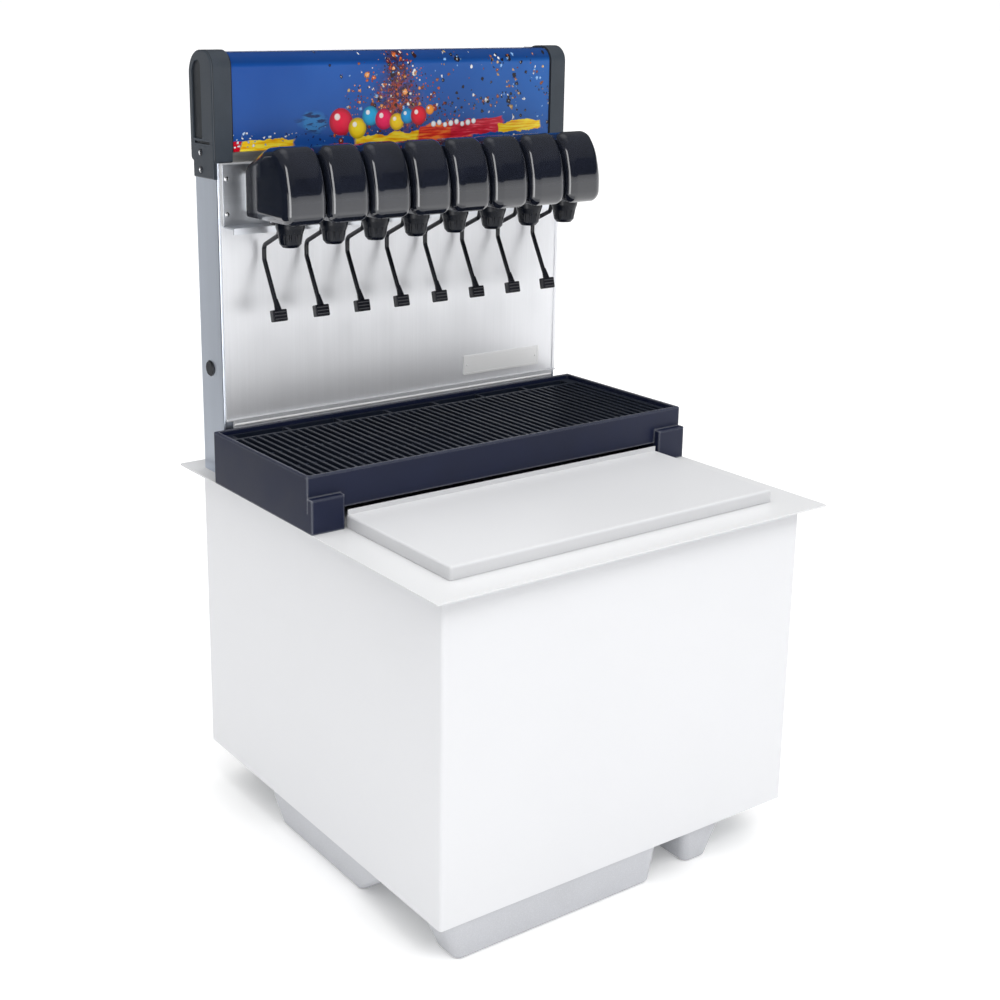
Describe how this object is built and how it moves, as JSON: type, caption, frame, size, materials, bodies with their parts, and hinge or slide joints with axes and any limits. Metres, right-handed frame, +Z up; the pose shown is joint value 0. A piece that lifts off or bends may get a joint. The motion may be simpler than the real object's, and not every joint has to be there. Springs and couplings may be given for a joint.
{
  "type": "drop-in ice and beverage dispenser",
  "caption": "Drop-in fountain drink dispenser: insulated ice bin with sliding lid, drip tray, steel splash tower, lever valves and a lit header.",
  "frame": {"origin": "on the floor under the middle of the deck flange", "axes": "+Z up, the front with the bin lid faces -Y, +X is to the right seen from the front"},
  "size_m": [0.584, 0.6, 0.994],
  "materials": {
    "cabinet_white": "satin light grey-white paint",
    "deck_sheet": "satin light sheet",
    "lid_sheet": "satin light sheet",
    "skid_plastic": "matt light grey moulding",
    "galvanised": "dull zinc",
    "foam": "closed-cell foam",
    "seal_foam": "closed-cell grey seal",
    "liner_plastic": "moulded white",
    "cast_aluminium": "as cast",
    "drain_plastic": "moulded",
    "tray_plastic": "fine-grained dark moulding",
    "grille_plastic": "fine-grained dark moulding",
    "tower_steel": "brushed",
    "splash_steel": "brushed",
    "bracket_steel": "brushed",
    "tube_steel": "drawn tube",
    "spring_steel": "drawn wire",
    "black_plastic": "moulded",
    "plate_aluminium": "satin",
    "component_steel": "dipped",
    "cap_plastic": "fine-grained dark moulding",
    "screw_chrome": "bright",
    "graphic_panel": "printed film behind clear gloss",
    "trim_aluminium": "satin",
    "lamp_glass": "frosted",
    "white_plastic": "moulded",
    "valve_block": "moulded",
    "nozzle_plastic": "satin dark moulding",
    "cover_gloss": "high gloss dark moulding",
    "lever_plastic": "satin dark moulding"
  },
  "bodies": {
    "root": {"cabinet_shell": "cabinet_white", "base_pan": "galvanised", "insulation_foam": "foam", "bin_liner": "liner_plastic", "cold_plate": "cast_aluminium", "bin_drain_fitting": "drain_plastic", "deck_flange": "deck_sheet", "deck_seal": "seal_foam", "foot_front": "skid_plastic", "foot_rear": "skid_plastic", "foot_left": "skid_plastic", "foot_right": "skid_plastic", "drip_tray": "tray_plastic", "tray_drain_tube": "drain_plastic", "tower_shell": "tower_steel", "power_gland": "black_plastic", "splash_panel": "splash_steel", "side_plug": "black_plastic", "label_plate": "plate_aluminium", "rear_hatch": "tower_steel", "rear_hatch_screws": "screw_chrome", "power_transformer": "component_steel", "end_cap_left": "cap_plastic", "end_cap_right": "cap_plastic", "end_cap_screws": "screw_chrome", "header_housing": "galvanised", "header_graphic_panel": "graphic_panel", "header_trim": "trim_aluminium", "lamp_tube": "lamp_glass", "lamp_holders": "white_plastic", "lamp_ballast": "component_steel", "valve_bracket": "bracket_steel", "bracket_rivets": "screw_chrome", "mounting_blocks": "white_plastic", "valve_bodies": "valve_block", "lever_pins": "screw_chrome", "lever_springs": "spring_steel", "solenoids": "component_steel", "nozzles": "nozzle_plastic", "product_lines": "tube_steel", "inlet_lines": "tube_steel", "valve_cover_1": "cover_gloss", "valve_cover_2": "cover_gloss", "valve_cover_3": "cover_gloss", "valve_cover_4": "cover_gloss", "valve_cover_5": "cover_gloss", "valve_cover_6": "cover_gloss", "valve_cover_7": "cover_gloss", "valve_cover_8": "cover_gloss"},
    "bin_lid": {"bin_lid": "lid_sheet"},
    "cup_rest": {"cup_rest_grille": "grille_plastic"},
    "lever_1": {"lever_1": "lever_plastic"},
    "lever_2": {"lever_2": "lever_plastic"},
    "lever_3": {"lever_3": "lever_plastic"},
    "lever_4": {"lever_4": "lever_plastic"},
    "lever_5": {"lever_5": "lever_plastic"},
    "lever_6": {"lever_6": "lever_plastic"},
    "lever_7": {"lever_7": "lever_plastic"},
    "lever_8": {"lever_8": "lever_plastic"}
  },
  "joints": [
    {"name": "lid_slide", "type": "slide", "parent": "root", "child": "bin_lid", "axis": [0, 1, 0], "range_m": [0, 0.18]},
    {"name": "cup_rest_lift", "type": "slide", "parent": "root", "child": "cup_rest", "axis": [0, 0, 1], "range_m": [0, 0.05]},
    {"name": "lever_1_push", "type": "hinge", "parent": "root", "child": "lever_1", "pos_m": [-0.2156, 0.15, 0.79], "axis": [1, 0, 0], "range_deg": [0, 7], "stiffness_Nm_per_rad": 0.6, "springref_deg": -8.59},
    {"name": "lever_2_push", "type": "hinge", "parent": "root", "child": "lever_2", "pos_m": [-0.154, 0.15, 0.79], "axis": [1, 0, 0], "range_deg": [0, 7], "stiffness_Nm_per_rad": 0.6, "springref_deg": -8.59},
    {"name": "lever_3_push", "type": "hinge", "parent": "root", "child": "lever_3", "pos_m": [-0.0924, 0.15, 0.79], "axis": [1, 0, 0], "range_deg": [0, 7], "stiffness_Nm_per_rad": 0.6, "springref_deg": -8.59},
    {"name": "lever_4_push", "type": "hinge", "parent": "root", "child": "lever_4", "pos_m": [-0.0308, 0.15, 0.79], "axis": [1, 0, 0], "range_deg": [0, 7], "stiffness_Nm_per_rad": 0.6, "springref_deg": -8.59},
    {"name": "lever_5_push", "type": "hinge", "parent": "root", "child": "lever_5", "pos_m": [0.0308, 0.15, 0.79], "axis": [1, 0, 0], "range_deg": [0, 7], "stiffness_Nm_per_rad": 0.6, "springref_deg": -8.59},
    {"name": "lever_6_push", "type": "hinge", "parent": "root", "child": "lever_6", "pos_m": [0.0924, 0.15, 0.79], "axis": [1, 0, 0], "range_deg": [0, 7], "stiffness_Nm_per_rad": 0.6, "springref_deg": -8.59},
    {"name": "lever_7_push", "type": "hinge", "parent": "root", "child": "lever_7", "pos_m": [0.154, 0.15, 0.79], "axis": [1, 0, 0], "range_deg": [0, 7], "stiffness_Nm_per_rad": 0.6, "springref_deg": -8.59},
    {"name": "lever_8_push", "type": "hinge", "parent": "root", "child": "lever_8", "pos_m": [0.2156, 0.15, 0.79], "axis": [1, 0, 0], "range_deg": [0, 7], "stiffness_Nm_per_rad": 0.6, "springref_deg": -8.59}
  ]
}
